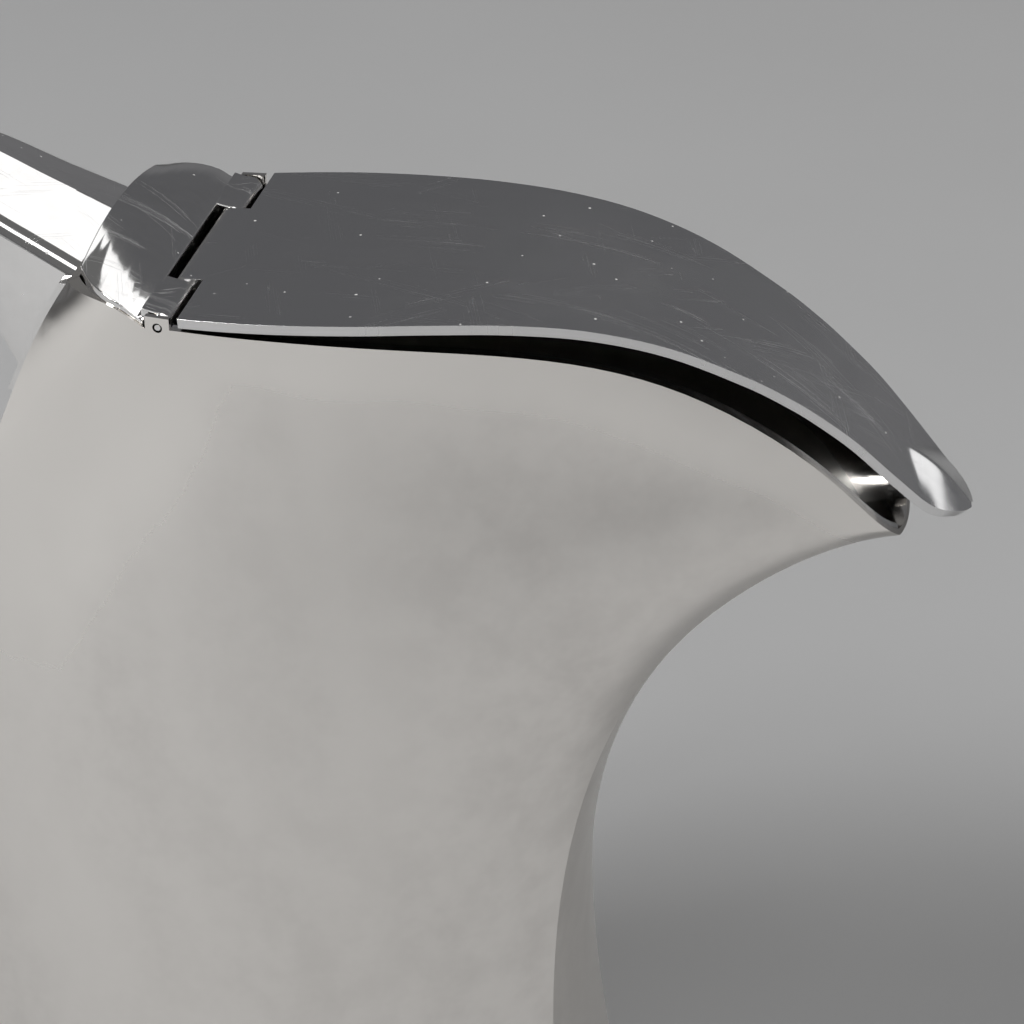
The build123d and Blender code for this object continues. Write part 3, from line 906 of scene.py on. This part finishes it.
@dataclass
class Hinge:
    """The knuckles and their pin, turned by one Geometry Nodes tree.

    Attributes:
        radius: Outside radius of a knuckle, in mm.
        pin_radius: Radius of the pin.
        pin_half: Half length of the pin.
        lid_half: Half length of the lid's knuckle.
        fixed: From and to, across, of a fixed knuckle.
        rounding: Radius of a barrel's rounded ends.
        sides: Sides of a barrel.
        rings: Rings along a barrel.
    """

    radius: float = 2.0
    pin_radius: float = 0.9
    pin_half: float = 30.28
    lid_half: float = 14.9
    fixed: tuple[float, float] = (15.1, 28.8)
    rounding: float = 0.35
    sides: int = 40
    rings: int = 61

    def tree(self) -> bpy.types.NodeTree:
        """A turned barrel between two points, with rounded ends."""
        tree = bpy.data.node_groups.new("turned_barrel", "GeometryNodeTree")
        face = tree.interface
        face.new_socket("Geometry", in_out="INPUT", socket_type="NodeSocketGeometry")
        for name in ("Start", "End"):
            face.new_socket(name, in_out="INPUT", socket_type="NodeSocketVector")
        for name in ("Radius", "Rounding"):
            face.new_socket(name, in_out="INPUT", socket_type="NodeSocketFloat")
        face.new_socket("Finish", in_out="INPUT", socket_type="NodeSocketMaterial")
        face.new_socket("Geometry", in_out="OUTPUT", socket_type="NodeSocketGeometry")
        bench = Bench(tree)
        given = bench.node("NodeGroupInput").outputs
        line = bench.node(
            "GeometryNodeCurvePrimitiveLine",
            {"mode": "POINTS"},
            {"Start": given["Start"], "End": given["End"]},
        )
        fine = bench.node(
            "GeometryNodeResampleCurve", inputs={"Curve": line.outputs[0], "Count": self.rings}
        )
        place = bench.node("GeometryNodeSplineParameter")
        whole = bench.node("GeometryNodeSplineLength")
        along = Wire(bench, place.outputs["Length"])
        left = Wire(bench, whole.outputs["Length"]) - along
        near_end = along.least(left)
        rounding = Wire(bench, given["Rounding"])
        share = bench.math("DIVIDE", near_end, rounding).least(1.0)
        fall = 1.0 - share
        lost = fall * fall * rounding
        reach = Wire(bench, given["Radius"]) - lost
        sized = bench.node(
            "GeometryNodeSetCurveRadius", inputs={"Curve": fine.outputs[0], "Radius": reach}
        )
        ring = bench.node(
            "GeometryNodeCurvePrimitiveCircle",
            inputs={"Resolution": self.sides, "Radius": 1.0},
        )
        barrel = bench.node(
            "GeometryNodeCurveToMesh",
            inputs={
                "Curve": sized.outputs[0], "Profile Curve": ring.outputs[0], "Fill Caps": True,
                "Scale": reach,
            },
        )
        smooth = bench.node(
            "GeometryNodeSetShadeSmooth",
            inputs={"Geometry": barrel.outputs[0], "Shade Smooth": True},
        )
        whole_piece = bench.node("GeometryNodeRealizeInstances", inputs={0: smooth.outputs[0]})
        dressed = bench.node(
            "GeometryNodeSetMaterial",
            inputs={"Geometry": whole_piece.outputs[0], "Material": given["Finish"]},
        )
        bench.node("NodeGroupOutput", inputs={0: dressed.outputs[0]})
        return tree

    def barrel(
        self, tree: bpy.types.NodeTree, name: str, start: float, end: float, radius: float,
        dresser: Dresser,
    ) -> bpy.types.Mesh:
        """Runs the tree once and returns its plain mesh.

        Args:
            tree: The barrel's tree.
            name: The mesh's name.
            start: Where it starts, across, in mm.
            end: Where it ends.
            radius: Its radius in mm.
            dresser: Where the finish comes from.

        Returns:
            The mesh.
        """
        holder = bpy.data.objects.new(name + "_holder", bpy.data.meshes.new(name + "_holder"))
        bpy.context.scene.collection.objects.link(holder)
        modifier = holder.modifiers.new("barrel", "NODES")
        modifier.node_group = tree
        values = {
            "Start": HINGE + Vector((0, start * MM, 0)),
            "End": HINGE + Vector((0, end * MM, 0)),
            "Radius": radius * MM,
            "Rounding": self.rounding * MM,
            "Finish": dresser.finish[Slot.POLISHED],
        }
        for item in tree.interface.items_tree:
            if item.in_out == "INPUT" and item.name in values:
                modifier[item.identifier] = values[item.name]
        evaluated = holder.evaluated_get(bpy.context.evaluated_depsgraph_get())
        mesh = bpy.data.meshes.new_from_object(evaluated)
        mesh.name = name
        holder.modifiers.clear()
        bpy.data.objects.remove(holder)
        return mesh

    def build(self, dresser: Dresser) -> None:
        """Makes the three knuckles and the pin."""
        tree = self.tree()
        near, far = self.fixed
        fixed, moving = Body.PITCHER, Body.LID
        runs = (
            ("knuckle_left", near, far, self.radius, fixed, "hinge_knuckle_left"),
            ("knuckle_right", -far, -near, self.radius, fixed, "hinge_knuckle_right"),
            ("knuckle_of_lid", -self.lid_half, self.lid_half, self.radius, moving, "lid_knuckle"),
            ("pin", -self.pin_half, self.pin_half, self.pin_radius, fixed, "hinge_pin"),
        )
        for name, start, end, radius, body, node in runs:
            mesh = self.barrel(tree, name, start, end, radius, dresser)
            finish_piece(mesh, name, 0.0, body, Slot.POLISHED, dresser, node)


# ---------------------------------------------------------------------- studio


CEILING_FROM, CEILING_TO = 0.22, 0.52
CEILING_LEAN = 0.45          # how far the lit ceiling leans towards the front
BACKDROP_TOP, BACKDROP_FOOT = 0.30, 0.10
SEEN_ROOM = (0.36, 0.36, 0.36, 1.0)
FLOOR_TONES = ((0.50, 0.50, 0.50, 1.0), (0.53, 0.53, 0.53, 1.0))
DARK_ROOM = (0.098, 0.099, 0.104, 1.0)
SOFT_CEILING = (0.13, 0.13, 0.13, 1.0)
LIT_BACKDROP = (0.14, 0.14, 0.145, 1.0)


@dataclass
class Studio:
    """Floor, soft light and camera.

    Attributes:
        floor_reach: Half the floor's side, in metres.
        aim: The point that the camera looks at.
        camera_place: Where the camera stands.
        lens: The camera's focal length in mm.
    """

    floor_reach: float = 6.0
    aim: tuple[float, float, float] = (0.0471, -0.0118, 0.1719)
    camera_place: tuple[float, float, float] = (0.16987, -0.56116, 0.49686)
    lens: float = 128.0

    def build(self) -> None:
        """Builds the whole studio."""
        self.lay_floor()
        self.light_room()
        self.set_lamps()
        self.set_camera()
        bpy.context.scene.view_settings.view_transform = "Standard"

    def lay_floor(self) -> None:
        """A plain pale floor."""
        reach = self.floor_reach
        mesh = bpy.data.meshes.new("floor")
        corners = [(-reach, -reach, 0), (reach, -reach, 0), (reach, reach, 0), (-reach, reach, 0)]
        mesh.from_pydata(corners, [], [(0, 1, 2, 3)])
        floor = bpy.data.objects.new("floor", mesh)
        bpy.context.scene.collection.objects.link(floor)
        material = bpy.data.materials.new("pale_floor")
        material.use_nodes = True
        bench = Bench(material.node_tree)
        tone = bench.cloud(bench.place(), 9.0, 4.0)
        colour = bench.blend(tone, *FLOOR_TONES)
        shader = bench.node(
            "ShaderNodeBsdfPrincipled", inputs={"Base Color": colour, "Roughness": 0.85}
        )
        bench.node("ShaderNodeOutputMaterial", inputs={"Surface": shader.outputs[0]})
        mesh.materials.append(material)

    def light_room(self) -> None:
        """Soft light from in front and above, with the room behind left dark."""
        world = bpy.data.worlds.new("soft_room")
        world.use_nodes = True
        bpy.context.scene.world = world
        bench = Bench(world.node_tree)
        where = bench.node("ShaderNodeTexCoord")
        parts = bench.node(
            "ShaderNodeSeparateXYZ", inputs={"Vector": where.outputs["Generated"]}
        )
        away, up = (Wire(bench, parts.outputs[i]) for i in (1, 2))
        ceiling = (up - away * CEILING_LEAN).ramp(CEILING_FROM, CEILING_TO)
        backdrop = up.ramp(BACKDROP_TOP, BACKDROP_FOOT)
        light = bench.blend(ceiling, DARK_ROOM, SOFT_CEILING)
        colour = bench.blend(backdrop * (1.0 - ceiling), light, LIT_BACKDROP)
        seen = bench.node("ShaderNodeLightPath")
        shown = bench.blend(
            Wire(bench, seen.outputs["Is Camera Ray"]), colour, SEEN_ROOM
        )
        background = bench.node("ShaderNodeBackground", inputs={"Color": shown, "Strength": 1.0})
        bench.node("ShaderNodeOutputWorld", inputs={"Surface": background.outputs[0]})

    def lamp(
        self,
        name: str,
        place: tuple[float, float, float],
        size: tuple[float, float],
        power: float,
    ) -> None:
        """One soft box that faces the aim point.

        Args:
            name: The lamp's name.
            place: Where it hangs.
            size: Its width and height in metres.
            power: Its output in watts.
        """
        data = bpy.data.lights.new(name, "AREA")
        data.shape = "RECTANGLE"
        data.size, data.size_y = size
        data.energy = power
        lamp = bpy.data.objects.new(name, data)
        bpy.context.scene.collection.objects.link(lamp)
        lamp.location = place
        away = Vector(place) - Vector(self.aim)
        lamp.rotation_euler = away.to_track_quat("Z", "Y").to_euler()

    def set_lamps(self) -> None:
        """A key box on the left, a weaker one in front, and two overhead behind the object."""
        self.lamp("key_box", (-1.25, -1.00, 1.75), (0.7, 0.7), 34.0)
        self.lamp("front_box", (0.15, -1.35, 1.45), (1.2, 0.6), 4.0)
        self.lamp("top_box", (1.00, 0.56, 1.18), (1.2, 1.1), 3.8)
        self.lamp("deck_box", (0.22, 0.64, 1.50), (1.1, 0.8), 2.7)

    def set_camera(self) -> None:
        """The camera, with no depth of field and no shift."""
        data = bpy.data.cameras.new("camera")
        data.lens = self.lens
        data.sensor_width = 36.0
        data.clip_start = 0.01
        camera = bpy.data.objects.new("camera", data)
        bpy.context.scene.collection.objects.link(camera)
        camera.location = self.camera_place
        away = Vector(self.camera_place) - Vector(self.aim)
        camera.rotation_euler = away.to_track_quat("Z", "Y").to_euler()
        bpy.context.scene.camera = camera


def main() -> None:
    """Builds the pitcher's pieces in order."""
    logging.basicConfig(level=logging.INFO, format="%(message)s")
    dresser = Dresser()
    Lid().build(dresser)
    Deck().build(dresser)
    Handle().build(dresser)
    Hinge().build(dresser)
    for entry in sorted(frame["nodes"]):
        node = frame["nodes"][entry]
        if node.hide_render:
            continue
        slot = Slot(node.data.materials[0].name.split(".")[0])
        dresser.dress(node, slot)
        log.info("piece %s, finish %s", entry, slot.value)
    Studio().build()


if __name__ == "__main__":
    main()
